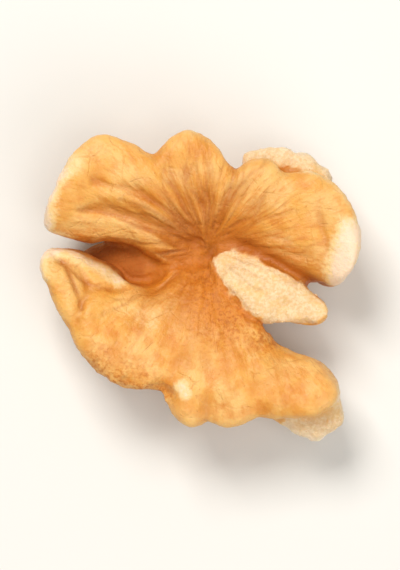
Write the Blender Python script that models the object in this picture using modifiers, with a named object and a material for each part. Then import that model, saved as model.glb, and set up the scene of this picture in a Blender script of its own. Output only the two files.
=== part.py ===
"""Half of a walnut kernel, shelled, lying on its outer side with its inner face up.

Two lobes fan out from a low hub and are joined there. Each lobe is a sphere drawn out between two
curves that are seen from above: the rim of the kernel and the edge of the groove between the lobes.
Its inner face is a low crown with veins that run to the hub. Its outer side swells into winding
folds with creases between them. A ridge with a broken top lies in the groove on the right, and on
the left the groove is an open slot. Two smaller pieces of flesh stand out below the rim. The whole
kernel is one solid, cut level in a few spots where it rests.

The tables are in millimetres, and the finished mesh is in metres, +X along the length, +Z up. The
origin is on the surface that the kernel lies on, under the middle of its box.
"""
import math

import bmesh
import bpy
import numpy as np
from mathutils import Vector, noise

MM = 0.001
NAME = "walnut_kernel"

SKIN_COLOUR = (0.83, 0.47, 0.14, 1)
SKIN_ROUGHNESS = 0.45

# Each row: rim x and y, groove x and y, depth below the face. Rows run from the left end to the right.
UPPER_LOBE = [
    (-16.7, 8.0, -16.2, 4.1, 4.6),
    (-15.2, 10.1, -13.9, 4.0, 6.6),
    (-13.4, 13.1, -11.4, 3.8, 8.0),
    (-10.3, 15.3, -9.2, 4.0, 9.2),
    (-7.0, 14.9, -7.0, 3.7, 9.9),
    (-4.8, 13.2, -4.9, 2.5, 10.3),
    (-3.2, 15.0, -3.2, 1.5, 10.6),
    (-1.2, 16.0, -1.8, 1.3, 10.8),
    (1.1, 15.0, -0.4, 1.3, 10.8),
    (2.8, 13.4, 0.9, 1.5, 10.6),
    (4.0, 11.6, 2.2, 2.1, 10.4),
    (5.6, 12.6, 3.6, 2.6, 10.4),
    (7.7, 12.6, 5.0, 2.5, 10.3),
    (9.3, 11.5, 6.6, 2.0, 10.1),
    (12.1, 11.5, 8.2, 1.3, 9.8),
    (14.5, 10.3, 9.7, 0.6, 9.2),
    (16.3, 8.2, 11.1, -0.1, 8.4),
    (17.2, 5.4, 12.4, -0.8, 7.4),
    (17.2, 2.6, 13.4, -1.2, 6.4),
    (16.6, 0.6, 14.4, -1.4, 5.2),
]
LOWER_LOBE = [
    (-17.2, 0.9, -16.0, 4.4, 4.6),
    (-16.6, -0.4, -13.8, 3.4, 6.4),
    (-15.5, -2.3, -12.2, 2.9, 7.8),
    (-14.4, -4.5, -10.8, 2.0, 8.9),
    (-13.2, -6.6, -9.2, 1.2, 9.6),
    (-11.8, -8.6, -7.8, 0.3, 10.1),
    (-10.2, -10.4, -6.3, -0.6, 10.4),
    (-8.2, -11.6, -4.9, -0.8, 10.6),
    (-6.0, -11.8, -3.6, -0.2, 10.7),
    (-3.9, -12.2, -2.6, 1.0, 10.7),
    (-2.4, -14.4, -1.4, 2.2, 10.8),
    (-0.6, -15.6, 0.3, 3.0, 10.8),
    (0.9, -15.2, 2.2, 2.2, 10.8),
    (2.6, -15.9, 3.6, 0.2, 10.7),
    (5.0, -15.6, 4.9, -2.0, 10.5),
    (7.2, -15.1, 6.2, -3.9, 10.2),
    (9.4, -14.9, 7.4, -5.8, 9.6),
    (11.5, -14.8, 8.7, -7.2, 8.8),
    (13.3, -14.4, 10.8, -8.0, 7.8),
    (14.6, -13.6, 12.8, -8.6, 6.6),
    (15.4, -12.6, 14.3, -9.8, 5.2),
]
BROKEN_RIDGE = [
    (0.8, 0.6, 1.5, 3.3, 3.5),
    (2.7, -1.6, 3.6, 3.5, 5.0),
    (4.4, -3.0, 5.5, 2.8, 6.0),
    (6.5, -4.4, 7.5, 1.8, 6.6),
    (8.9, -4.9, 9.6, 0.5, 6.4),
    (11.0, -5.1, 11.6, -0.9, 5.6),
    (12.8, -4.9, 13.2, -2.0, 4.6),
    (13.9, -4.5, 14.1, -2.9, 3.4),
]
TORN_EDGE = [
    (4.4, 12.9, 5.0, 10.6, 2.2),
    (6.4, 14.0, 6.4, 10.2, 3.0),
    (8.8, 14.3, 8.4, 9.6, 3.8),
    (11.1, 13.8, 10.4, 9.2, 4.2),
    (13.2, 12.4, 12.2, 9.0, 3.8),
    (14.6, 10.9, 13.4, 9.0, 2.6),
]
CHIP = [
    (7.4, -14.6, 9.0, -12.4, 3.0),
    (9.4, -15.9, 10.4, -11.8, 4.6),
    (11.4, -17.1, 11.8, -11.4, 5.6),
    (13.3, -17.3, 13.0, -11.4, 5.8),
    (14.9, -16.3, 14.0, -11.8, 5.4),
    (15.9, -14.8, 14.8, -12.6, 4.2),
]

# Each fold is a ridge from one place to another: share of the way along the lobe, then degrees
# down round its outer side. Nought degrees is the rim, and ninety is straight below the lobe.
UPPER_FOLDS = [
    (0.00, -8, 0.03, 60), (0.125, -8, 0.11, 34), (0.405, -8, 0.42, 44), (0.635, -8, 0.62, 26),
    (0.765, -8, 0.80, 40), (0.97, -8, 0.94, 50),
    (0.17, 66, 0.24, 28), (0.29, 40, 0.33, 84), (0.53, 30, 0.50, 78), (0.60, 56, 0.70, 36),
    (0.71, 70, 0.79, 82), (0.88, 50, 0.86, 88),
    (0.07, 88, 0.17, 104), (0.24, 96, 0.27, 124), (0.38, 110, 0.48, 112), (0.60, 84, 0.62, 118),
    (0.72, 112, 0.80, 124), (0.93, 84, 0.92, 124),
    (0.12, 140, 0.30, 160), (0.40, 146, 0.56, 150), (0.66, 158, 0.84, 156),
]
LOWER_FOLDS = [
    (0.00, -8, 0.03, 50), (0.12, -8, 0.10, 36), (0.25, -8, 0.27, 30), (0.36, -8, 0.35, 28),
    (0.52, -8, 0.55, 40), (0.68, -8, 0.66, 30), (0.84, -8, 0.80, 24), (0.98, -8, 0.96, 50),
    (0.08, 74, 0.17, 48), (0.22, 62, 0.29, 60), (0.38, 54, 0.44, 34), (0.41, 84, 0.50, 74),
    (0.62, 58, 0.72, 52), (0.76, 46, 0.80, 80), (0.88, 38, 0.89, 78),
    (0.12, 98, 0.22, 92), (0.29, 88, 0.32, 116), (0.42, 112, 0.52, 106), (0.62, 82, 0.61, 112),
    (0.70, 84, 0.71, 120), (0.83, 108, 0.93, 104),
    (0.10, 134, 0.22, 130), (0.36, 144, 0.54, 140), (0.64, 150, 0.84, 146),
]
RIDGE_FOLDS = [(0.1, 20, 0.15, 90), (0.4, 20, 0.38, 80), (0.7, 30, 0.66, 100), (0.95, 20, 0.92, 80)]
TORN_FOLDS = [(0.05, 0, 0.1, 90), (0.35, 0, 0.3, 60), (0.65, -10, 0.7, 80), (0.95, 0, 0.95, 90)]
CHIP_FOLDS = [(0.05, 0, 0.1, 90), (0.5, -20, 0.45, 70), (0.95, 0, 0.9, 90)]

# Each lobe: its rows and folds, the heights of its rim and of its groove edge, how far its face rises
# in the middle, how flat that face is, and how deep the creases between its folds are
LOBES = [
    (UPPER_LOBE, UPPER_FOLDS, 9.7, 7.8, 2.2, 3.0, 2.0),
    (LOWER_LOBE, LOWER_FOLDS, 9.5, 7.8, 2.3, 3.0, 2.0),
    (BROKEN_RIDGE, RIDGE_FOLDS, 8.6, 8.8, 1.6, 3.4, 0.6),
    (TORN_EDGE, TORN_FOLDS, 7.0, 7.4, 1.0, 2.6, 0.6),
    (CHIP, CHIP_FOLDS, 6.6, 7.0, 1.4, 2.6, 0.8),
]

# Flesh that joins the lobes: the middle, the three radii, and the rise for each millimetre of length
BRIDGE = ((0.0, 1.2, 4.4), (4.6, 5.0, 3.8), 0)
WEB = ((-4.4, 1.6, 3.2), (9.0, 3.0, 2.6), 0.32)

# The round of a lobe: points round it and along it, how blunt its ends are, how round it is at the
# groove and at the belly, and how far the belly leans towards the groove
POINTS_ROUND = 160
POINTS_ALONG = 240
END_BLUNTNESS = 26
GROOVE_ROUNDNESS = 2.1
BELLY_ROUNDNESS = 2.0
BELLY_LEAN = 0.3

# The folds: a degree round a lobe in millimetres, how much longer than wide they look, how sharp the
# creases are, how far they wander, and how deep they are at each number of degrees down from the rim
MM_PER_DEGREE = 0.13
FOLD_STRETCH = 0.85
CREASE_SHARPNESS = 2.4
WANDER_SIZE = 4.5
WANDER_REACH = 1.6
DEGREES_DOWN = (-60, -14, 12, 40, 125, 170, 200, 269)
CREASE_SHARE = (0.0, 0.2, 0.45, 1, 1, 0.4, 0.1, 0)

# Veins pressed into the inner face: depth, width, then places from the hub outwards
VEINS = [
    (0.70, 0.75, [(-0.2, 3.6), (-1.8, 4.0), (-3.9, 5.3), (-6.9, 6.6), (-10.5, 7.3), (-12.0, 7.3)]),
    (0.35, 0.60, [(0.3, 4.6), (-2.3, 6.7), (-4.9, 8.3), (-7.8, 9.6), (-11.0, 10.4)]),
    (0.30, 0.60, [(0.2, 5.2), (-1.6, 7.8), (-3.3, 10.2), (-4.4, 12.2), (-5.0, 14.0)]),
    (0.20, 0.60, [(1.0, 5.4), (0.4, 8.4), (-0.4, 11.4)]),
    (0.35, 0.60, [(1.7, 5.2), (2.6, 7.6), (3.4, 9.8), (4.2, 12.2)]),
    (0.20, 0.60, [(3.0, 4.6), (5.0, 6.8), (7.6, 9.2), (9.4, 11.4)]),
    (0.40, 0.80, [(13.0, 6.4), (13.5, 4.2), (13.7, 2.0), (13.5, -0.4)]),
    (0.60, 0.60, [(-7.8, -0.9), (-9.4, -1.3), (-11.0, -1.0), (-12.6, 0.8), (-14.6, 2.2)]),
    (0.40, 0.60, [(-11.0, -1.0), (-12.2, -2.8), (-12.8, -4.6)]),
    (0.20, 0.90, [(-1.2, -3.4), (-3.0, -6.0), (-4.9, -8.8), (-6.4, -10.8)]),
    (0.25, 0.80, [(-1.8, -8.6), (-3.4, -11.2), (-3.9, -12.8)]),
    (0.20, 0.90, [(1.0, -9.0), (1.0, -12.0), (0.9, -15.6)]),
    (0.15, 0.90, [(4.2, -7.0), (6.0, -10.4), (7.2, -13.6)]),
    (0.20, 0.90, [(7.0, -7.6), (9.8, -10.2), (12.2, -11.4)]),
]

# Hollows of the inner face: x, y, how deep, how far they reach
HOLLOWS = [(0.8, 3.2, 2.0, 4.2), (-2.8, 0.6, 1.0, 2.6), (-3.8, -12.6, 1.2, 1.0), (2.6, -4.2, 0.6, 3.2)]

# Heights between which the hollows and veins fade in
FACE_FROM = 3.5
FACE_FULL = 8.0

# Broken flesh: the middle line of each break, how far it reaches to the sides, its lowest and highest place
BREAKS = [
    ([(2.6, 1.2), (6.5, -1.1), (10.5, -2.9), (13.4, -3.7)], 2.6, 7.0, 20.0),
    ([(10.6, -16.0), (12.8, -16.6), (15.2, -15.6)], 2.4, 2.0, 8.4),
    ([(5.0, 13.6), (9.0, 13.8), (12.8, 12.4), (14.2, 11.2)], 1.8, 4.0, 8.6),
]

# Unevenness: size and reach of the waves of the broken flesh and of the whole surface
BREAK_WAVES = [(1.5, 0.4), (0.9, 0.12)]
SKIN_WAVES = [(2.6, 0.25), (7.0, 0.35)]

NOISE_SEED = 7
FINE_STEP = 0.28
TRIANGLES = 9000
FOOT_CUT = 0.5


def clear_scene():
    """Take everything out of the scene."""
    for thing in list(bpy.data.objects):
        bpy.data.objects.remove(thing, do_unlink=True)


def between(rows, share):
    """Values of a table at each share of its length, in a smooth curve through its rows."""
    rows = np.array(rows, dtype=float)
    place = np.clip(share, 0, 1) * (len(rows) - 1)
    first = np.clip(np.floor(place).astype(int), 0, len(rows) - 2)
    t = (place - first)[:, None]
    slopes = np.gradient(rows, axis=0) * 0.8
    start, end = rows[first], rows[first + 1]
    start_slope, end_slope = slopes[first], slopes[first + 1]
    return (start * (2 * t**3 - 3 * t**2 + 1) + end * (3 * t**2 - 2 * t**3)
            + start_slope * (t**3 - 2 * t**2 + t) + end_slope * (t**3 - t**2))


def wander(points, size):
    """Three smooth waves of noise for each point, minus one to one, of the given size."""
    return np.array([noise.noise_vector(Vector(p) / size) for p in points])


def waves(points, sizes_and_reaches):
    """Uneven height at each point."""
    return sum(wander(points, size)[:, 0] * reach for size, reach in sizes_and_reaches)


def gap_to_piece(points, start, end):
    """How far each point is from a straight piece of line."""
    start, end = np.array(start), np.array(end)
    along = end - start
    share = np.clip((points - start) @ along / (along @ along), 0, 1)
    return np.linalg.norm(points - start - share[:, None] * along, axis=1)


def gap_to_line(points, line):
    """How far each point is from a line of several pieces."""
    return np.min([gap_to_piece(points, a, b) for a, b in zip(line[:-1], line[1:])], axis=0)


def crease_depth(share, down, shift, length, folds):
    """Nought on top of each fold and up to one in the creases between them."""
    scale = np.array([length, MM_PER_DEGREE * FOLD_STRETCH])
    places = np.column_stack([share, down]) * scale + shift[:, 0:2] * WANDER_REACH
    gaps = np.stack([gap_to_piece(places, np.array(f[0:2]) * scale, np.array(f[2:4]) * scale) for f in folds])
    gaps.sort(axis=0)
    nearness = gaps[0] / np.maximum(gaps[1], 1e-6)
    return nearness**CREASE_SHARPNESS * np.interp(down, DEGREES_DOWN, CREASE_SHARE)


def lobe(rows, folds, rim_height, groove_height, crown, flatness, fold_depth):
    """A sphere drawn out between the rim and the groove of the table, with folds round its outer side."""
    shape = bmesh.new()
    bmesh.ops.create_uvsphere(shape, u_segments=POINTS_ROUND, v_segments=POINTS_ALONG, radius=1)
    sphere = np.array([vert.co for vert in shape.verts])
    share = np.arccos(np.clip(-sphere[:, 2], -1, 1)) / math.pi
    turn = np.arctan2(sphere[:, 1], sphere[:, 0])
    table = between(rows, share)
    rim, groove, depth = table[:, 0:2], table[:, 2:4], table[:, 4]
    taper = np.sqrt(np.clip(1 - np.abs(2 * share - 1)**END_BLUNTNESS, 0, 1))

    across, up = np.cos(turn), np.sin(turn)
    face = up > 0
    roundness = np.where(face, np.where(across > 0, flatness, GROOVE_ROUNDNESS), BELLY_ROUNDNESS)
    side = np.sign(across) * np.abs(across)**(2 / roundness)
    height = np.sign(up) * np.abs(up)**(2 / roundness)
    lean = np.where(face, 0, BELLY_LEAN * height)
    plan = (rim + groove) / 2 + (rim - groove) / 2 * ((side + lean) * taper)[:, None]
    edge = groove_height + (rim_height - groove_height) * (side + 1) / 2
    points = np.column_stack([plan, edge + np.where(face, crown, depth) * height * taper])

    down = -np.degrees(turn)
    down = np.where(down < -90, down + 360, down)
    rim_line = between(rows, np.linspace(0, 1, 60))[:, 0:2]
    length = np.linalg.norm(np.diff(rim_line, axis=0), axis=1).sum()
    sink = crease_depth(share, down, wander(points, WANDER_SIZE), length, folds) * fold_depth * taper
    inward = np.column_stack([(rim + groove) / 2, groove_height - depth * 0.3]) - points
    inward /= np.maximum(np.linalg.norm(inward, axis=1), 0.5)[:, None]
    points += inward * sink[:, None]
    return mesh_from(shape, points)


def lump(middle, radii, rise):
    """A round lump that rises along its length."""
    shape = bmesh.new()
    bmesh.ops.create_uvsphere(shape, u_segments=64, v_segments=48, radius=1)
    points = np.array([vert.co for vert in shape.verts]) * radii
    points[:, 2] += points[:, 0] * rise
    return mesh_from(shape, points + middle)


def mesh_from(shape, points):
    """A mesh with the shape's faces, its corners moved to the points."""
    for vert, point in zip(shape.verts, points):
        vert.co = point
    mesh = bpy.data.meshes.new("piece of kernel")
    shape.to_mesh(mesh)
    shape.free()
    return mesh


def joined(meshes):
    """One object out of several meshes, in the kernel's own collection."""
    shape = bmesh.new()
    for mesh in meshes:
        shape.from_mesh(mesh)
    whole = bpy.data.meshes.new(NAME)
    shape.to_mesh(whole)
    shape.free()
    kernel = bpy.data.objects.new(NAME, whole)
    collection = bpy.data.collections.new("walnut kernel")
    bpy.context.scene.collection.children.link(collection)
    collection.objects.link(kernel)
    return kernel


def soften(kernel, times):
    """Round off the surface a little."""
    soft = kernel.modifiers.new("soften", "SMOOTH")
    soft.factor = 0.5
    soft.iterations = times


def settle(kernel):
    """Work the kernel's modifiers into its mesh."""
    graph = bpy.context.evaluated_depsgraph_get()
    graph.update()
    mesh = bpy.data.meshes.new_from_object(kernel.evaluated_get(graph))
    kernel.modifiers.clear()
    kernel.data = mesh


def points_and_normals(mesh):
    """Places and directions of the mesh's points, as tables with three columns."""
    points = np.empty(len(mesh.vertices) * 3)
    normals = np.empty(len(mesh.vertices) * 3)
    mesh.vertices.foreach_get("co", points)
    mesh.vertex_normals.foreach_get("vector", normals)
    return points.reshape(-1, 3), normals.reshape(-1, 3)


def press_face(mesh):
    """Press the hollows and the veins into the inner face, and make all of the surface uneven."""
    points, normals = points_and_normals(mesh)
    upward = np.clip((normals[:, 2] - 0.1) / 0.5, 0, 1)
    face = upward * np.clip((points[:, 2] - FACE_FROM) / (FACE_FULL - FACE_FROM), 0, 1)
    plan = points[:, 0:2] + wander(points, 3.0)[:, 0:2] * 0.5
    sink = np.zeros(len(points))
    for x, y, deep, reach in HOLLOWS:
        sink += deep * np.exp(-((plan[:, 0] - x)**2 + (plan[:, 1] - y)**2) / reach**2)
    veins = [deep * np.exp(-(gap_to_line(plan, line) / width)**2) for deep, width, line in VEINS]
    points[:, 2] -= (sink + np.max(veins, axis=0)) * face
    points += normals * waves(points, SKIN_WAVES)[:, None]
    mesh.vertices.foreach_set("co", points.ravel())
    mesh.update()


def roughen_breaks(mesh):
    """Make the broken flesh lumpy."""
    points, normals = points_and_normals(mesh)
    strength = np.zeros(len(points))
    for line, reach, lowest, highest in BREAKS:
        near = np.clip((reach - gap_to_line(points[:, 0:2], line)) / 0.5, 0, 1)
        level = np.clip(np.minimum(points[:, 2] - lowest, highest - points[:, 2]) / 0.8, 0, 1)
        strength = np.maximum(strength, near * level)
    points += normals * (waves(points, BREAK_WAVES) * strength)[:, None]
    mesh.vertices.foreach_set("co", points.ravel())
    mesh.update()


def stand_flat(mesh):
    """Cut the lowest folds level, and put the origin on that level under the middle of the box."""
    points, _ = points_and_normals(mesh)
    low, high = points.min(axis=0), points.max(axis=0)
    middle = (low + high) / 2
    level = low[2] + FOOT_CUT
    shape = bmesh.new()
    shape.from_mesh(mesh)
    everything = shape.verts[:] + shape.edges[:] + shape.faces[:]
    cut = bmesh.ops.bisect_plane(shape, geom=everything, plane_co=(0, 0, level), plane_no=(0, 0, 1),
                                 clear_inner=True)
    rims = [edge for edge in cut["geom_cut"] if isinstance(edge, bmesh.types.BMEdge)]
    bmesh.ops.triangle_fill(shape, edges=rims, use_beauty=True)
    bmesh.ops.triangulate(shape, faces=shape.faces)
    bmesh.ops.translate(shape, verts=shape.verts, vec=(-middle[0], -middle[1], -level))
    bmesh.ops.scale(shape, verts=shape.verts, vec=(MM, MM, MM))
    bmesh.ops.recalc_face_normals(shape, faces=shape.faces)
    shape.to_mesh(mesh)
    shape.free()
    mesh.shade_smooth()
    mesh.set_sharp_from_angle(angle=math.radians(60))


def skin_material():
    """The thin golden brown skin of the kernel."""
    material = bpy.data.materials.new("skin")
    material.use_nodes = True
    shader = material.node_tree.nodes["Principled BSDF"]
    shader.inputs["Base Color"].default_value = SKIN_COLOUR
    shader.inputs["Roughness"].default_value = SKIN_ROUGHNESS
    shader.inputs["Metallic"].default_value = 0
    return material


def main():
    clear_scene()
    noise.seed_set(NOISE_SEED)
    kernel = joined([lobe(*settings) for settings in LOBES] + [lump(*BRIDGE), lump(*WEB)])

    skin = kernel.modifiers.new("one skin", "REMESH")
    skin.mode = "VOXEL"
    skin.voxel_size = FINE_STEP
    soften(kernel, 6)
    settle(kernel)
    press_face(kernel.data)
    roughen_breaks(kernel.data)

    soften(kernel, 2)
    fewer = kernel.modifiers.new("fewer faces", "DECIMATE")
    fewer.ratio = TRIANGLES / (2 * len(kernel.data.polygons))
    settle(kernel)
    stand_flat(kernel.data)
    kernel.data.materials.append(skin_material())


main()
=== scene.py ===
import itertools
import math

import bmesh
import bpy
import numpy as np
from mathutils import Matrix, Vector


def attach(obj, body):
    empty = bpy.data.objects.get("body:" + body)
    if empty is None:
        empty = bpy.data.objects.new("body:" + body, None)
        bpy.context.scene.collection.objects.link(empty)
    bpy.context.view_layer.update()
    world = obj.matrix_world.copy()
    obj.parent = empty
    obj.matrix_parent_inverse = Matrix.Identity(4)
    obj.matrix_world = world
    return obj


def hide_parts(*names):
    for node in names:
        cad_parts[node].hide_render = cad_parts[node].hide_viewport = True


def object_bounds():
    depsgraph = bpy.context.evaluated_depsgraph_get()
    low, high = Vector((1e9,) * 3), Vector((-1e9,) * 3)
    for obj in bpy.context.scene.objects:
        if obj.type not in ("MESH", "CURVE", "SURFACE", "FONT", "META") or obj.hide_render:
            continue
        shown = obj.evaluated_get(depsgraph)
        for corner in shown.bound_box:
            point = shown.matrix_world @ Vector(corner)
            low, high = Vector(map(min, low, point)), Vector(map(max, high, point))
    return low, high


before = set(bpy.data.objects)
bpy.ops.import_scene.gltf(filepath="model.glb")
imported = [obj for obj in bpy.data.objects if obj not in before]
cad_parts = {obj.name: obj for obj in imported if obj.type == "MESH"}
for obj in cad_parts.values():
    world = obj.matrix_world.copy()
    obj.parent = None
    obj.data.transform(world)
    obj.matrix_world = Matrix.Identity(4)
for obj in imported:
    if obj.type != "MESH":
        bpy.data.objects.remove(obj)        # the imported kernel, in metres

cad_low, cad_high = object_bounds()


# The kernel
# A shelled half of a walnut, grown as one piece: two folded lobes that meet at a low hub, with a ridge
# of broken flesh on the right. The flesh is firm and pale, and a thin brown skin grows tight on it.
MM = 0.001               # lengths are in millimetres, apart from those in the materials
SKIN_STEP = 0.21
LATTICE = 32
TURN = np.array([[0.36, 0.48, -0.8], [-0.8, 0.6, 0.0], [0.48, 0.64, 0.6]])
NEAR_ROUNDS = 14
WIDE_ROUNDS = 120


def fine_copy(node, step):
    """A smooth closed copy of a node's mesh, with its points about the step apart."""
    shape = bmesh.new()
    shape.from_mesh(node.data)
    bmesh.ops.remove_doubles(shape, verts=shape.verts, dist=1e-7)
    mesh = bpy.data.meshes.new("fine copy")
    shape.to_mesh(mesh)
    shape.free()
    copy = bpy.data.objects.new("fine copy", mesh)
    bpy.context.scene.collection.objects.link(copy)
    rounder = copy.modifiers.new("rounder", "SUBSURF")
    rounder.levels = rounder.render_levels = 2
    skin = copy.modifiers.new("one skin", "REMESH")
    skin.mode = "VOXEL"
    skin.voxel_size = step * MM
    soft = copy.modifiers.new("soften", "SMOOTH")
    soft.factor = 0.5
    soft.iterations = 3
    graph = bpy.context.evaluated_depsgraph_get()
    fine = bpy.data.meshes.new_from_object(copy.evaluated_get(graph))
    bpy.data.objects.remove(copy)
    bpy.data.meshes.remove(mesh)
    return fine


def column(collection, name, width):
    """One property of every point or edge, as a table."""
    values = np.empty(len(collection) * width, dtype=np.int32 if name == "vertices" else np.float32)
    collection.foreach_get(name, values)
    return values.reshape(-1, width).astype(np.int64 if name == "vertices" else np.float64)


def waves(places, size, seed):
    """Smooth random waves about as wide as the size, from minus one to one."""
    lattice = np.random.default_rng(seed).uniform(-1, 1, (LATTICE, LATTICE, LATTICE))
    cell = places @ TURN / size + seed * 0.37
    low = np.floor(cell).astype(int)
    t = cell - low
    t = t * t * (3 - 2 * t)
    total = np.zeros(len(places))
    for corner in itertools.product((0, 1), repeat=3):
        weight = np.prod(np.where(corner, t, 1 - t), axis=1)
        x, y, z = ((low + corner) % LATTICE).T
        total += weight * lattice[x, y, z]
    return total


def ramp(values, low, high):
    """Nought below low, one above high, and a smooth rise between them."""
    t = np.clip((values - low) / (high - low), 0, 1)
    return t * t * (3 - 2 * t)


def averaged(values, edges, times):
    """Each point's value, spread over its neighbours the given number of times."""
    ends = np.concatenate([edges[:, 0], edges[:, 1]])
    others = np.concatenate([edges[:, 1], edges[:, 0]])
    count = np.bincount(ends, minlength=len(values))
    for _ in range(times):
        values = np.column_stack([np.bincount(ends, v[others], len(v)) / count for v in values.T])
    return values


kernel_mesh = fine_copy(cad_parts["walnut_kernel"], SKIN_STEP)
kernel_mesh.name = "kernel"
places = column(kernel_mesh.vertices, "co", 3) / MM
normals = column(kernel_mesh.vertex_normals, "vector", 3)
edges = column(kernel_mesh.edges, "vertices", 2)


def spot(x, y, across, along):
    """One at a place seen from above, fading away from it by the squares of two widths."""
    return np.exp(-((places[:, 0] - x)**2 / across + (places[:, 1] - y)**2 / along))


# How far each point lies in a hollow, against the surface close round it and further round it
near_hollow = np.sum((averaged(places, edges, NEAR_ROUNDS) - places) * normals, axis=1)
smoothed = averaged(places, edges, WIDE_ROUNDS)
wide_hollow = np.sum((smoothed - places) * normals, axis=1)

# The inner face is the smooth side that lay against the inner wall of the shell. Fine veins leave the
# hub and fork on their way to the rim, and shallow pleats run between them.
HUB = np.array([0.72, 3.9])
VEIN_COUNT = 34
VEIN_SEED = 11
VEIN_STEP = 0.8
VEIN_BEND = 0.07
FORK_CHANCE = 0.11
NARROWING = 0.965
THINNEST = 0.25
VEIN_WIDTH = 0.24
LONG_VEIN_WIDTH = 0.32
LONG_VEINS = [
    [(-1.6, 3.5), (-4.1, 5.3), (-7.2, 6.6), (-10.3, 7.6), (-12.9, 8.1)],
    [(0.0, 4.6), (-2.1, 5.8), (-3.9, 7.1), (-6.2, 8.4), (-8.6, 9.0)],
    [(-0.4, 5.4), (-1.1, 6.3), (-3.1, 7.9), (-5.7, 9.2), (-7.7, 9.7)],
    [(-1.0, 4.2), (-3.4, 5.9), (-6.4, 7.5), (-9.6, 8.4)],
    [(-15.4, 3.3), (-14.4, 2.2), (-11.8, 0.2), (-9.5, -0.5)],
    [(-14.2, 2.0), (-12.9, -0.8), (-12.4, -2.6)],
]

facing = ramp(normals[:, 2], 0.1, 0.5) * ramp(places[:, 2], 4.5, 9.0)
from_hub = places[:, 0:2] - HUB
reach = np.linalg.norm(from_hub, axis=1)
way = from_hub / np.maximum(reach, 0.3)[:, None]
fan = np.column_stack([way * 5.0, reach * 0.10])


def vein_lines(count, seed):
    """Lines from near the hub outwards, and their forks, each as a table of places."""
    chance = np.random.default_rng(seed)
    lines = []
    for i in range(count):
        angle = (i + chance.uniform(-0.35, 0.35)) / count * math.tau
        start = HUB + np.array([math.cos(angle), math.sin(angle)]) * chance.uniform(0.2, 2.8)
        waiting = [(start, angle, 1.0, chance.uniform(8, 15))]
        while waiting:
            place, heading, width, left = waiting.pop()
            line = [place]
            bend = 0.0
            while left > 0 and width > THINNEST:
                bend = bend * 0.6 + chance.normal(0, VEIN_BEND)
                heading += bend
                place = place + np.array([math.cos(heading), math.sin(heading)]) * VEIN_STEP
                line.append(place)
                left -= VEIN_STEP
                width *= NARROWING
                if chance.random() < FORK_CHANCE and left > 2:
                    side = chance.choice([-1, 1]) * chance.uniform(0.25, 0.5)
                    waiting.append((place, heading + side, width * 0.6, left * chance.uniform(0.4, 0.8)))
            lines.append(np.array(line))
    return lines


def vein_share(plan, lines, widest):
    """One on a vein's middle line, falling to nought at its edges."""
    share = np.zeros(len(plan))
    for line in lines:
        steps = len(line) - 1
        for k in range(steps):
            start, along = line[k], line[k + 1] - line[k]
            box = (np.abs(plan - start - along / 2) < np.abs(along) / 2 + 3 * widest).all(axis=1)
            near = plan[box]
            t = np.clip((near - start) @ along / (along @ along), 0, 1)
            gap = np.linalg.norm(near - start - t[:, None] * along, axis=1)
            width = widest * (1 - 0.5 * k / steps)
            strength = 1 - 0.6 * k / steps
            share[box] = np.maximum(share[box], strength * np.exp(-(gap / width)**2))
    return share


# The veins wander a little, and are fainter far from the hub and on the lower lobe
plan = places[:, 0:2] + np.column_stack([waves(places, 1.6, 21), waves(places, 1.6, 22)]) * 0.22
quiet = (0.32 + 0.68 * np.exp(-(reach / 8.5)**2)) * (0.55 + 0.45 * ramp(places[:, 1], -4.0, 2.0))
veins = vein_share(plan, vein_lines(VEIN_COUNT, VEIN_SEED), VEIN_WIDTH) * facing * quiet
long_veins = vein_share(plan, [np.array(line) for line in LONG_VEINS], LONG_VEIN_WIDTH)
veins = np.maximum(veins, long_veins * ramp(normals[:, 2], 0.1, 0.4))
pleats = (1 - np.abs(waves(fan, 0.75, 5)))**3 * facing
pleats *= ramp(reach, 0.3, 3.4) * (1 - 0.75 * ramp(reach, 4, 12))

# The skin is darker on the bridge between the lobes and near the hub, more streaked there than at the
# rim, and blotched on the lower lobe. The bridge's second spot, at the slot's inner end, is painted
# shade.
bridge_tone_and_shade = np.maximum(spot(1.0, -1.6, 9.0, 20.0), 0.8 * spot(-4.0, 0.9, 10.0, 5.0))
closeness = np.exp(-(reach / 5.6)**2) * ramp(places[:, 2], 3, 7)
marked = 0.24 + 0.76 * np.exp(-(reach / 8.5)**2) * ramp(places[:, 1], -3.5, 2.5)
marked = marked * facing + 0.6 * (1 - facing)
blotched = ramp(places[:, 1], -1.5, -5.0) * facing
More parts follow.
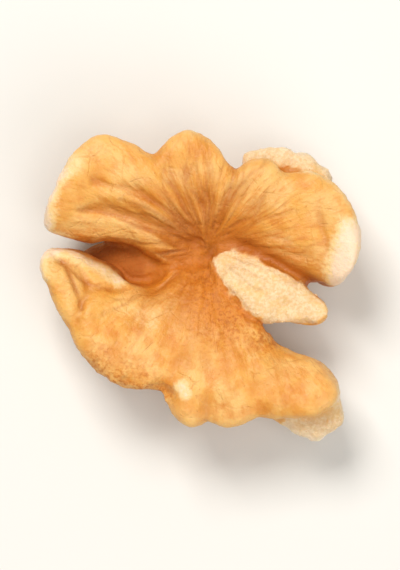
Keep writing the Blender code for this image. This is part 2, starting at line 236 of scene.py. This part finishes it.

# Where the other half of the kernel tore away the skin is gone, and the pale flesh shows its grains.
# Flesh also shows on the torn edge and the chip below the rim, and where the ends are rubbed bare. Some
# pale patches on the rims and a bump of the lower lobe are painted highlights.
BREAKS = [
    # outline seen from above, then the lowest and the highest place
    ([(1.3, 3.0), (3.6, 3.9), (7.8, 2.1), (12.5, -1.2), (14.0, -2.4), (13.9, -3.3),
      (10.8, -4.5), (7.0, -3.9), (5.0, -2.7), (3.3, -1.3), (2.1, 0.4), (1.3, 1.5)], 6.2, 20.0),
    ([(8.6, -13.4), (11.2, -13.9), (15.6, -12.6), (17.2, -15.0), (15.4, -17.6), (9.0, -17.4)], 1.5, 10.3),
    ([(3.6, 12.8), (8.4, 13.0), (12.0, 12.2), (13.6, 10.6), (15.4, 11.0), (13.6, 14.6),
      (8.6, 16.4), (4.0, 15.8)], 3.5, 10.2),
]
RUBBED_AND_HIGHLIT = [
    # line along each pale place, its height, how far it reaches and how pale it is: rubbed bare flesh,
    # and painted highlights where marked
    ([(-16.8, 6.6), (-16.6, 8.0)], 11.0, 1.9, 0.86),
    # painted highlight: white glints along the upper-left rim
    ([(-16.2, 8.8), (-15.4, 10.6), (-13.4, 12.8)], 12.0, 1.3, 0.80),
    ([(-17.0, 1.4), (-16.6, 3.4), (-15.2, 4.2)], 10.6, 1.7, 0.90),
    # painted highlight along the lower lobe's raised edge by the slot
    ([(-15.2, 4.2), (-12.6, 3.1), (-10.4, 1.9), (-8.6, 0.6)], 10.6, 1.25, 0.68),
    ([(16.0, 5.4), (15.5, 3.0), (15.0, 0.6)], 11.6, 2.2, 1.00),
    ([(11.4, 12.4), (13.3, 11.2), (15.1, 9.3), (16.3, 7.2)], 11.4, 1.0, 0.62),
    ([(15.4, -11.4), (14.8, -13.2)], 11.0, 1.4, 0.75),
    # painted highlight: a glossy spot on a bump of the lower lobe
    ([(-1.9, -10.6), (-1.5, -11.6)], 12.4, 1.0, 0.80),
    ([(-6.8, -3.0), (-5.8, -3.9)], 12.6, 2.8, 0.34),
    ([(-2.6, 16.2), (-0.8, 16.4)], 12.0, 1.3, 0.40),
]
ROUGH = [
    # place and reach of each rough patch of skin
    (0.6, 0.6, 9.0, 3.0),
    (3.4, -3.4, 9.0, 3.2),
    (6.6, -5.6, 9.0, 2.2),
    (-10.6, -8.2, 10.5, 1.9),
    (-8.6, -9.8, 10.5, 2.0),
    (-6.2, -10.8, 10.5, 2.0),
    (-3.8, -11.2, 10.5, 1.5),
]


def gap_to_line(plan, line):
    """How far each place is from a line of several pieces."""
    gaps = []
    for start, end in zip(np.array(line[:-1]), np.array(line[1:])):
        along = end - start
        t = np.clip((plan - start) @ along / (along @ along), 0, 1)
        gaps.append(np.linalg.norm(plan - start - t[:, None] * along, axis=1))
    return np.min(gaps, axis=0)


def depth_inside(plan, outline):
    """How far each place lies inside an outline, and less than nought outside it."""
    inside = np.zeros(len(plan), dtype=bool)
    for start, end in zip(np.array(outline), np.roll(outline, -1, axis=0)):
        level = (start[1] > plan[:, 1]) != (end[1] > plan[:, 1])
        slant = (end[0] - start[0]) / ((end[1] - start[1]) or 1e-9)
        inside ^= level & (plan[:, 0] < start[0] + slant * (plan[:, 1] - start[1]))
    return gap_to_line(plan, outline + outline[:1]) * np.where(inside, 1, -1)


ragged = waves(places, 1.1, 31) * 0.45 + waves(places, 0.5, 32) * 0.25
flesh = np.zeros(len(places))
for outline, lowest, highest in BREAKS:
    inside = depth_inside(places[:, 0:2], outline) + ragged
    level = np.minimum(places[:, 2] - lowest, highest - places[:, 2]) + ragged
    flesh = np.maximum(flesh, ramp(np.minimum(inside, level), -0.10, 0.12))
rubbed_and_highlit = np.zeros(len(places))
for line, height, spread, shows_pale in RUBBED_AND_HIGHLIT:
    gap = np.hypot(gap_to_line(places[:, 0:2], line), (places[:, 2] - height) * 0.6)
    rubbed_and_highlit = np.maximum(rubbed_and_highlit, shows_pale * np.exp(-(gap / spread)**2))
rough = np.zeros(len(places))
for x, y, z, spread in ROUGH:
    gap = np.linalg.norm((places - (x, y, z)) * (1, 1, 0.5), axis=1)
    rough = np.maximum(rough, np.exp(-(gap / spread)**2))
rough *= 1 - flesh

# Painted shade in the slot between the lobes, darkest low down at its middle; the same mask makes the
# skin there rougher
SLOT = [(-15.2, 5.0), (-11.0, 4.6), (-7.2, 4.5), (-5.6, 2.6), (-5.4, 0.4), (-7.4, 0.2),
        (-9.6, 1.6), (-12.6, 3.2)]
painted_slot_shade = ramp(depth_inside(places[:, 0:2], SLOT), -0.6, 0.9) * ramp(places[:, 2], 10.4, 8.4)
painted_slot_shade = np.maximum(painted_slot_shade, 0.75 * spot(-5.3, 1.4, 3.5, 2.5) * facing)

# Painted shade: where the upper lobe rolls down to the ridge, and down its lip into the slot, its skin is
# painted darker, and darkest in the groove beside the ridge
ROLL = [(0.6, 4.0), (5.1, 3.5), (8.9, 2.3), (11.8, 0.4), (13.8, -1.4)]
fold_shade = np.exp(-(gap_to_line(places[:, 0:2], ROLL) / 2.1)**2) * ramp(places[:, 0], 0.6, 3.0)
LIP = [(-15.0, 5.2), (-11.4, 4.9), (-7.8, 4.1), (-6.2, 3.0)]
fold_shade = np.maximum(fold_shade, 0.85 * np.exp(-(gap_to_line(places[:, 0:2], LIP) / 0.85)**2))
fold_shade *= (1 - flesh) * ramp(places[:, 2], 3, 7)

GROOVE = [(2.2, 4.6), (5.0, 4.1), (8.7, 2.2), (11.2, 0.9), (13.4, -0.6)]
shaded_groove = np.exp(-(gap_to_line(places[:, 0:2], GROOVE) / 0.75)**2) * ramp(places[:, 0], 1.5, 5.0)
shaded_groove *= (1 - flesh) * ramp(places[:, 2], 3, 7)

# The slot's inner end runs out level into the bridge
level_out = np.maximum(0.85 * spot(-4.2, 0.9, 6.5, 4.5), 0.9 * spot(-2.9, 1.2, 1.0, 1.0))
level_out *= ramp(places[:, 2], 2, 5)

# The relief of all of it, along the surface's own direction. Folds of the outer side run down from the
# rim of each lobe, so its grain is laid out by the way round the lobe and the height.
outer = 1 - facing
round_lobe = np.column_stack([places[:, 0] / 15, (np.abs(places[:, 1] - 0.7) - 7) / 8])
round_way = round_lobe / np.maximum(np.linalg.norm(round_lobe, axis=1), 0.2)[:, None]
grain = np.column_stack([round_way * 11.0, places[:, 2] * 0.10])
relief = np.zeros(len(places))
for size, seed, height in ((3.2, 39, 0.16), (2.0, 41, 0.09), (1.0, 42, 0.05), (0.5, 40, 0.02)):
    relief += waves(places, size, seed) * height
relief -= pleats * 0.26 + veins * 0.20
relief -= ramp(near_hollow, 0.02, 0.12) * 0.12 + shaded_groove * 0.22
relief += outer * (waves(grain, 0.5, 43) * 0.05 + waves(grain, 0.22, 44) * 0.03)
relief += flesh * (waves(places, 1.5, 45) * 0.18 + waves(places, 0.7, 46) * 0.06 - 0.06)
relief += rough * (waves(places, 0.85, 47) * 0.18 + waves(places, 0.45, 48) * 0.08)
places += (smoothed - places) * level_out[:, None] + normals * relief[:, None]

# The seam where the two skins meet at the slot's inner end has grown shut
SEAM_ROUNDS = 60
seam = spot(-2.9, 1.3, 0.9, 0.9) * ramp(places[:, 2], 4, 6)
places += (averaged(places, edges, SEAM_ROUNDS) - places) * seam[:, None]

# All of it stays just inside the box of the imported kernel
INSET = 0.01
places = np.clip(places, np.array(cad_low) / MM + (INSET, INSET, 0), np.array(cad_high) / MM - INSET)
kernel_mesh.vertices.foreach_set("co", (places * MM).astype(np.float32).ravel())
kernel_mesh.update()
kernel_mesh.shade_smooth()


def keep(mesh, name, values):
    """Store a number or a direction for every point of the mesh."""
    kind = "FLOAT" if values.ndim == 1 else "FLOAT_VECTOR"
    layer = mesh.attributes.new(name, kind, "POINT")
    layer.data.foreach_set("value" if kind == "FLOAT" else "vector", values.astype(np.float32).ravel())


for name, values in {
        "facing": facing, "veins": veins, "pleats": pleats, "closeness": closeness, "bridge_tone_and_shade": bridge_tone_and_shade,
        "fold_shade": fold_shade, "shaded_groove": shaded_groove, "marked": marked, "blotched": blotched,
        "flesh": flesh, "rubbed_and_highlit": rubbed_and_highlit, "rough": rough, "painted_slot_shade": painted_slot_shade,
        "near_hollow": near_hollow, "wide_hollow": wide_hollow, "fan": fan, "grain": grain}.items():
    keep(kernel_mesh, name, values)


class Wire:
    """A value in a material. Sums and products of wires add Math nodes."""

    def __init__(self, finish, socket):
        self.finish = finish
        self.socket = socket

    def __add__(self, other):
        return self.finish.maths("ADD", self, other)

    def __sub__(self, other):
        return self.finish.maths("SUBTRACT", self, other)

    def __mul__(self, other):
        return self.finish.maths("MULTIPLY", self, other)

    def __radd__(self, other):
        return self.finish.maths("ADD", other, self)

    def __rsub__(self, other):
        return self.finish.maths("SUBTRACT", other, self)


class Finish:
    """A material under construction."""

    def __init__(self, name):
        self.material = bpy.data.materials.new(name)
        self.material.use_nodes = True
        self.tree = self.material.node_tree
        self.tree.nodes.clear()

    def node(self, kind, settings=None, values=None, result=0):
        """Add a node: its settings first, then the value or wire of each of its sockets."""
        made = self.tree.nodes.new(kind)
        for name, setting in (settings or {}).items():
            setattr(made, name, setting)
        for name, value in (values or {}).items():
            if isinstance(value, Wire):
                self.tree.links.new(value.socket, made.inputs[name])
            else:
                made.inputs[name].default_value = value
        return Wire(self, made.outputs[result]) if len(made.outputs) else None

    def maths(self, operation, first, second):
        return self.node("ShaderNodeMath", {"operation": operation}, {0: first, 1: second})

    def kept(self, name, result="Fac"):
        """What is stored for the mesh's points under the name."""
        return self.node("ShaderNodeAttribute", {"attribute_name": name}, result=result)

    def speckle(self, vector, scale, detail=3.0, roughness=0.55):
        """Smooth noise, from nought to one."""
        values = {"Vector": vector, "Scale": scale, "Detail": detail, "Roughness": roughness}
        return self.node("ShaderNodeTexNoise", None, values)

    def rise(self, value, low, high):
        """Nought below low, one above high."""
        values = {"Value": value, "From Min": low, "From Max": high}
        return self.node("ShaderNodeMapRange", {"interpolation_type": "SMOOTHSTEP"}, values)

    def tinted(self, base, colour, share):
        """The base colour with a share of another colour in it."""
        settings = {"data_type": "RGBA", "clamp_factor": True}
        return self.node("ShaderNodeMix", settings, {0: share, 6: base, 7: colour}, result=2)


# The skin is golden tan and a little glossy, darker along the veins and at the hub, and paler where it is
# rubbed.
# Painted shade darkens it in creases, hollows, the slot and down the fold to the groove, and painted
# highlights pale some rims and a bump. The flesh under it is cream, dull and finely grained, with painted
# shade in its hollows and painted light low down.
GOLDEN = (0.80, 0.40, 0.080, 1)
HONEY = (0.66, 0.210, 0.016, 1)
STRAW = (0.86, 0.52, 0.175, 1)
CHESTNUT = (0.40, 0.100, 0.006, 1)
CREAM = (0.85, 0.60, 0.28, 1)
IVORY = (0.89, 0.67, 0.49, 1)
PAINTED_LIGHT_CREAM = (0.95, 0.84, 0.66, 1)
FLESH = (0.76, 0.50, 0.245, 1)
PALE_FLESH = (0.87, 0.65, 0.40, 1)

skin = Finish("walnut_skin")
coordinates = skin.node("ShaderNodeTexCoord", result="Object")
fan_wire = skin.kept("fan", "Vector")
grain_wire = skin.kept("grain", "Vector")
facing_wire = skin.kept("facing")
flesh_wire = skin.kept("flesh")
rough_wire = skin.kept("rough")
near_wire = skin.kept("near_hollow")
wide_wire = skin.kept("wide_hollow")

# Scales on the object's own coordinates are in waves to the metre.
# Thin streaks: away from the hub on the inner face, and down the folds on the outer side
face_streaks = skin.speckle(fan_wire, 5.5, 4.0, 0.62)
fold_streaks = skin.speckle(grain_wire, 3.2, 4.0, 0.62)
streaks = face_streaks * facing_wire + fold_streaks * (1 - facing_wire)
marked_wire = skin.kept("marked")
patches = skin.speckle(coordinates, 260.0, 2.0, 0.5)
mottle = skin.speckle(coordinates, 620.0, 3.0, 0.6)
fleck = skin.speckle(coordinates, 2600.0, 3.0, 0.6)
blotches = skin.speckle(coordinates, 480.0, 2.0, 0.55)
freckles = skin.speckle(coordinates, 900.0, 2.0, 0.5)

# A net of hair-thin brown lines all over the skin
warp = skin.node("ShaderNodeTexNoise", None, {
    "Vector": coordinates, "Scale": 300.0, "Detail": 2.0}, result=1)
warp = skin.node("ShaderNodeVectorMath", {"operation": "SCALE"}, {0: warp, "Scale": 0.0022})
bent = skin.node("ShaderNodeVectorMath", {"operation": "ADD"}, {0: coordinates, 1: warp})
cells = skin.node("ShaderNodeTexVoronoi", {"feature": "DISTANCE_TO_EDGE"}, {
    "Vector": bent, "Scale": 330.0})
network = skin.rise(cells, 0.05, 0.0) * skin.rise(mottle, 0.42, 0.60) * skin.rise(patches, 0.36, 0.56)

# The skin's colours, with painted shade and painted highlights among them, each laid over the ones before
# it
colour = skin.tinted(GOLDEN, STRAW, skin.rise(patches, 0.44, 0.62) * 0.75)
colour = skin.tinted(colour, HONEY, skin.rise(patches, 0.48, 0.32) * 0.52)
colour = skin.tinted(colour, HONEY, skin.kept("blotched") * skin.rise(blotches, 0.46, 0.62) * 0.42)
colour = skin.tinted(colour, STRAW, skin.kept("blotched") * skin.rise(blotches, 0.46, 0.36) * 0.40)
colour = skin.tinted(colour, CHESTNUT, network * 0.22)
colour = skin.tinted(colour, HONEY, skin.rise(mottle, 0.50, 0.34) * 0.35)
colour = skin.tinted(colour, HONEY, skin.rise(streaks, 0.48, 0.64) * marked_wire * 0.85)
colour = skin.tinted(colour, CHESTNUT, skin.rise(streaks, 0.57, 0.70) * marked_wire * 0.45)
colour = skin.tinted(colour, STRAW, skin.rise(streaks, 0.46, 0.34) * marked_wire * 0.50)
colour = skin.tinted(colour, HONEY, skin.kept("closeness") * 0.9)
colour = skin.tinted(colour, CHESTNUT, skin.kept("pleats") * 0.45)
# Painted shade: darker in broad hollows and in creases. Painted highlight: paler on convex rims and
# ridges
colour = skin.tinted(colour, HONEY, skin.rise(wide_wire, -0.10, 0.35) * (1 - facing_wire * 0.6))
colour = skin.tinted(colour, CHESTNUT, skin.rise(near_wire, 0.00, 0.08) * (1 - facing_wire * 0.65) * 0.85)
colour = skin.tinted(colour, STRAW, skin.rise(near_wire, -0.03, -0.14) * 0.6)
colour = skin.tinted(colour, CHESTNUT, skin.kept("veins") * 0.75)
colour = skin.tinted(colour, CHESTNUT, skin.rise(fleck, 0.64, 0.74) * 0.4)
# Darker bridge skin, with painted shade at the slot's inner end
colour = skin.tinted(colour, HONEY, skin.kept("bridge_tone_and_shade") * 0.85)
# Painted shade down the fold to the ridge and into the slot, darkest in the groove
edge_shade = skin.kept("fold_shade") * (0.35 + skin.rise(face_streaks, 0.40, 0.62) * 0.65)
colour = skin.tinted(colour, HONEY, edge_shade * 0.95)
colour = skin.tinted(colour, CHESTNUT, edge_shade * 0.40)
colour = skin.tinted(colour, CHESTNUT, skin.kept("shaded_groove") * 0.85)
colour = skin.tinted(colour, CHESTNUT, skin.kept("bridge_tone_and_shade") * skin.rise(fleck, 0.45, 0.62) * 0.3)
colour = skin.tinted(colour, HONEY, rough_wire * skin.rise(fleck, 0.35, 0.6) * 0.9)
colour = skin.tinted(colour, CHESTNUT, rough_wire * skin.rise(fleck, 0.50, 0.64) * 0.6)
colour = skin.tinted(colour, CHESTNUT, rough_wire * skin.rise(freckles, 0.50, 0.62) * 0.5)

# Where it is rubbed the cream under the skin shows through, and the same pale tints paint the highlights
rub_and_highlight = skin.kept("rubbed_and_highlit") + (mottle - 0.5) * 0.5 + (fleck - 0.5) * 0.4
colour = skin.tinted(colour, CREAM, skin.rise(rub_and_highlight, 0.26, 0.58) * 0.9)
colour = skin.tinted(colour, IVORY, skin.rise(rub_and_highlight, 0.52, 0.80) * 0.9)
# Painted shade: the slot is painted dark chestnut
colour = skin.tinted(colour, CHESTNUT, skin.kept("painted_slot_shade") * 0.92)

# The flesh. Painted light makes it palest low down, on the chip and the torn edge, where the lobe above
# shades it
PAINTED_LIGHT_BELOW = 0.0100
FULL_PAINTED_LIGHT_BELOW = 0.0075
flesh_colour = skin.tinted(FLESH, PALE_FLESH, skin.rise(fleck, 0.36, 0.66))
flesh_colour = skin.tinted(flesh_colour, STRAW, skin.rise(mottle, 0.48, 0.64) * 0.35)
# Painted shade: the flesh is darker in its hollows
flesh_colour = skin.tinted(flesh_colour, GOLDEN, skin.rise(near_wire, 0.01, 0.12) * 0.6)
flesh_height = skin.node("ShaderNodeSeparateXYZ", None, {"Vector": coordinates}, result=2)
flesh_colour = skin.tinted(flesh_colour, PAINTED_LIGHT_CREAM, skin.rise(flesh_height, PAINTED_LIGHT_BELOW, FULL_PAINTED_LIGHT_BELOW) * 0.9)
flesh_colour = skin.tinted(flesh_colour, HONEY, skin.rise(fleck, 0.66, 0.72) * 0.6)
colour = skin.tinted(colour, flesh_colour, flesh_wire)

skin_relief = streaks * 0.55 + fleck * 0.55 + mottle * 0.5 - network * 0.25
grains = skin.speckle(coordinates, 1500.0, 4.0, 0.7)
relief_height = skin_relief * (1 - flesh_wire) + grains * (flesh_wire * 1.1 + rough_wire)
bumps = skin.node("ShaderNodeBump", None, {
    "Strength": 0.75, "Distance": 0.00024, "Height": relief_height})
shader = skin.node("ShaderNodeBsdfPrincipled", None, {
    "Base Color": colour,
    "Roughness": 0.38 + mottle * 0.12 + flesh_wire * 0.24 + rough_wire * 0.14 + skin.kept("painted_slot_shade") * 0.35,
    "Normal": bumps,
    "IOR": 1.45,
    "Subsurface Weight": 0.10,
    "Subsurface Radius": (0.9, 0.45, 0.15),
    "Subsurface Scale": 0.0008,
})
skin.node("ShaderNodeOutputMaterial", None, {"Surface": shader})

kernel_mesh.materials.clear()
kernel_mesh.materials.append(skin.material)
kernel = bpy.data.objects.new("kernel", kernel_mesh)
bpy.context.scene.collection.objects.link(kernel)
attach(kernel, "root")
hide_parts("walnut_kernel")


# The crumbs
# Small grains of flesh that broke loose when the halves parted. They stick all over the broken
# places by the kernel's own oil.
CRUMBS_PER_SQUARE_METRE = 1.0e6
SMALLEST_CRUMB = 0.22 * MM
LARGEST_CRUMB = 0.70 * MM
CRUMB_SINK = 0.17 * MM
CRUMB_SEED = 4
DENT_WIDTH = 0.25
DENT_DEPTH = 0.05


def crumb_tree():
    """Geometry nodes that strew small round grains over the bare flesh of a mesh."""
    tree = bpy.data.node_groups.new("crumbs", "GeometryNodeTree")
    for name, kind in (("Surface", "Geometry"), ("Number", "Float"), ("Smallest", "Float"),
                       ("Largest", "Float"), ("Sink", "Float"), ("Seed", "Int"), ("Finish", "Material")):
        tree.interface.new_socket(name, in_out="INPUT", socket_type="NodeSocket" + kind)
    tree.interface.new_socket("Crumbs", in_out="OUTPUT", socket_type="NodeSocketGeometry")

    def node(kind, settings=None, values=None):
        made = tree.nodes.new(kind)
        for name, setting in (settings or {}).items():
            setattr(made, name, setting)
        for name, value in (values or {}).items():
            if isinstance(value, bpy.types.NodeSocket):
                tree.links.new(value, made.inputs[name])
            else:
                made.inputs[name].default_value = value
        return made.outputs

    given = node("NodeGroupInput")
    flesh_here = node("GeometryNodeInputNamedAttribute", {"data_type": "FLOAT"}, {"Name": "flesh"})
    shows_pale = node("FunctionNodeCompare", {"data_type": "FLOAT", "operation": "GREATER_THAN"},
                {0: flesh_here[0], 1: 0.8})
    spots = node("GeometryNodeDistributePointsOnFaces", None, {
        "Mesh": given["Surface"], "Selection": shows_pale[0],
        "Density": given["Number"], "Seed": given["Seed"]})
    block = node("GeometryNodeMeshCube", None, {"Size": (1, 1, 1)})
    crumb = node("GeometryNodeSubdivisionSurface", None, {"Mesh": block[0], "Level": 1})
    any_vector = {"data_type": "FLOAT_VECTOR"}
    turn = node("FunctionNodeRandomValue", any_vector, {1: (math.tau, math.tau, math.tau)})
    least, most = (node("ShaderNodeCombineXYZ", None, {0: given[name], 1: given[name], 2: given[name]})
                   for name in ("Smallest", "Largest"))
    size = node("FunctionNodeRandomValue", any_vector, {0: least[0], 1: most[0], "Seed": 3})
    inwards = node("ShaderNodeVectorMath", {"operation": "SCALE"}, {
        0: spots["Normal"], "Scale": given["Sink"]})
    lowered = node("ShaderNodeVectorMath", {"operation": "MULTIPLY"}, {0: inwards[0], 1: (-1, -1, -1)})
    sunk = node("GeometryNodeSetPosition", None, {"Geometry": spots["Points"], "Offset": lowered[0]})
    strewn = node("GeometryNodeInstanceOnPoints", None, {
        "Points": sunk[0], "Instance": crumb[0], "Rotation": turn[0], "Scale": size[0]})
    solid = node("GeometryNodeRealizeInstances", None, {"Geometry": strewn[0]})
    finished = node("GeometryNodeSetMaterial", None, {"Geometry": solid[0], "Material": given["Finish"]})
    node("NodeGroupOutput", None, {0: finished[0]})
    return tree


crumb_finish = Finish("crumbs_of_flesh")
crumb_place = crumb_finish.node("ShaderNodeTexCoord", result="Object")
crumb_tone = crumb_finish.speckle(crumb_place, 900.0, 2.0, 0.5)
crumb_grain = crumb_finish.speckle(crumb_place, 3000.0, 3.0, 0.6)
crumb_colour = crumb_finish.tinted(FLESH, PALE_FLESH, crumb_finish.rise(crumb_tone, 0.40, 0.60))
crumb_colour = crumb_finish.tinted(crumb_colour, STRAW, crumb_finish.rise(crumb_tone, 0.56, 0.66) * 0.6)
crumb_height = crumb_finish.node("ShaderNodeSeparateXYZ", None, {"Vector": crumb_place}, result=2)
# Painted light: crumbs low down are paler, as the flesh is
crumb_painted_light = crumb_finish.rise(crumb_height, PAINTED_LIGHT_BELOW, FULL_PAINTED_LIGHT_BELOW)
crumb_colour = crumb_finish.tinted(crumb_colour, PAINTED_LIGHT_CREAM, crumb_painted_light * 0.9)
crumb_bumps = crumb_finish.node("ShaderNodeBump", None, {
    "Strength": 0.5, "Distance": 0.0001, "Height": crumb_grain})
crumb_shader = crumb_finish.node("ShaderNodeBsdfPrincipled", None, {
    "Base Color": crumb_colour,
    "Roughness": 0.58 + crumb_grain * 0.15,
    "Normal": crumb_bumps,
    "IOR": 1.45,
})
crumb_finish.node("ShaderNodeOutputMaterial", None, {"Surface": crumb_shader})

ground = bpy.data.objects.new("ground", kernel_mesh.copy())
bpy.context.scene.collection.objects.link(ground)
strewing = ground.modifiers.new("strewing", "NODES")
strewing.node_group = crumb_tree()
inputs = {item.name: item.identifier for item in strewing.node_group.interface.items_tree
          if item.in_out == "INPUT"}
strewing[inputs["Number"]] = CRUMBS_PER_SQUARE_METRE
strewing[inputs["Smallest"]] = SMALLEST_CRUMB
strewing[inputs["Largest"]] = LARGEST_CRUMB
strewing[inputs["Sink"]] = CRUMB_SINK
strewing[inputs["Seed"]] = CRUMB_SEED
strewing[inputs["Finish"]] = crumb_finish.material
crumb_mesh = bpy.data.meshes.new_from_object(ground.evaluated_get(bpy.context.evaluated_depsgraph_get()))
bpy.data.objects.remove(ground)
crumb_mesh.name = "crumbs"
crumb_places = column(crumb_mesh.vertices, "co", 3) / MM
dents = np.column_stack([waves(crumb_places, DENT_WIDTH, seed) for seed in (51, 52, 53)])
crumb_places += dents * DENT_DEPTH
crumb_places = np.clip(crumb_places, np.array(cad_low) / MM + INSET, np.array(cad_high) / MM - INSET)
crumb_mesh.vertices.foreach_set("co", (crumb_places * MM).astype(np.float32).ravel())
crumb_mesh.update()
crumb_mesh.shade_smooth()
crumbs = bpy.data.objects.new("crumbs", crumb_mesh)
bpy.context.scene.collection.objects.link(crumbs)
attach(crumbs, "root")


# The studio
# A plain pale floor, a large soft lamp above the far left, a weaker one overhead, a wide fill from the
# near right, and a camera that looks straight down. Lengths here are in metres.
FLOOR_SIZE = 3.0
FLOOR_COLOUR = (0.78, 0.77, 0.75, 1)
LAMPS_POINT_AT = (0, 0, 0.008)

bpy.ops.mesh.primitive_plane_add(size=FLOOR_SIZE, location=(0, 0, 0))
floor = bpy.context.object
floor.name = "floor"
floor_finish = Finish("pale_floor")
floor_shader = floor_finish.node("ShaderNodeBsdfPrincipled", None, {
    "Base Color": FLOOR_COLOUR, "Roughness": 0.9})
floor_finish.node("ShaderNodeOutputMaterial", None, {"Surface": floor_shader})
floor.data.materials.append(floor_finish.material)


def soft_lamp(name, place, size, power, colour):
    """A square lamp that points at the kernel."""
    data = bpy.data.lights.new(name, "AREA")
    data.size = size
    data.energy = power
    data.color = colour
    lamp = bpy.data.objects.new(name, data)
    lamp.location = place
    lamp.rotation_mode = "QUATERNION"
    lamp.rotation_quaternion = (Vector(LAMPS_POINT_AT) - Vector(place)).to_track_quat("-Z", "Y")
    bpy.context.scene.collection.objects.link(lamp)


soft_lamp("key", (-0.12, 0.25, 0.455), 0.20, 2.23, (1.0, 0.97, 0.91))
soft_lamp("top", (0.06, -0.05, 0.50), 0.20, 0.54, (1.0, 0.97, 0.91))
soft_lamp("fill", (0.26, -0.32, 0.38), 0.45, 1.14, (1.0, 0.98, 0.94))
world = bpy.data.worlds.new("studio")
world.use_nodes = True
world.node_tree.nodes["Background"].inputs["Color"].default_value = (1.0, 0.98, 0.95, 1)
world.node_tree.nodes["Background"].inputs["Strength"].default_value = 0.27
bpy.context.scene.world = world
bpy.context.scene.view_settings.view_transform = "Standard"

CAMERA_HEIGHT = 0.45
SENSOR_WIDTH = 36.0
WIDTH_SEEN = 0.0425
RIM_HEIGHT = 0.010
camera_data = bpy.data.cameras.new("camera")
camera_data.sensor_fit = "HORIZONTAL"
camera_data.sensor_width = SENSOR_WIDTH
camera_data.lens = SENSOR_WIDTH * (CAMERA_HEIGHT - RIM_HEIGHT) / WIDTH_SEEN
camera_data.clip_start = 0.01
camera = bpy.data.objects.new("camera", camera_data)
camera.location = (0, 0, CAMERA_HEIGHT)
bpy.context.scene.collection.objects.link(camera)
bpy.context.scene.camera = camera
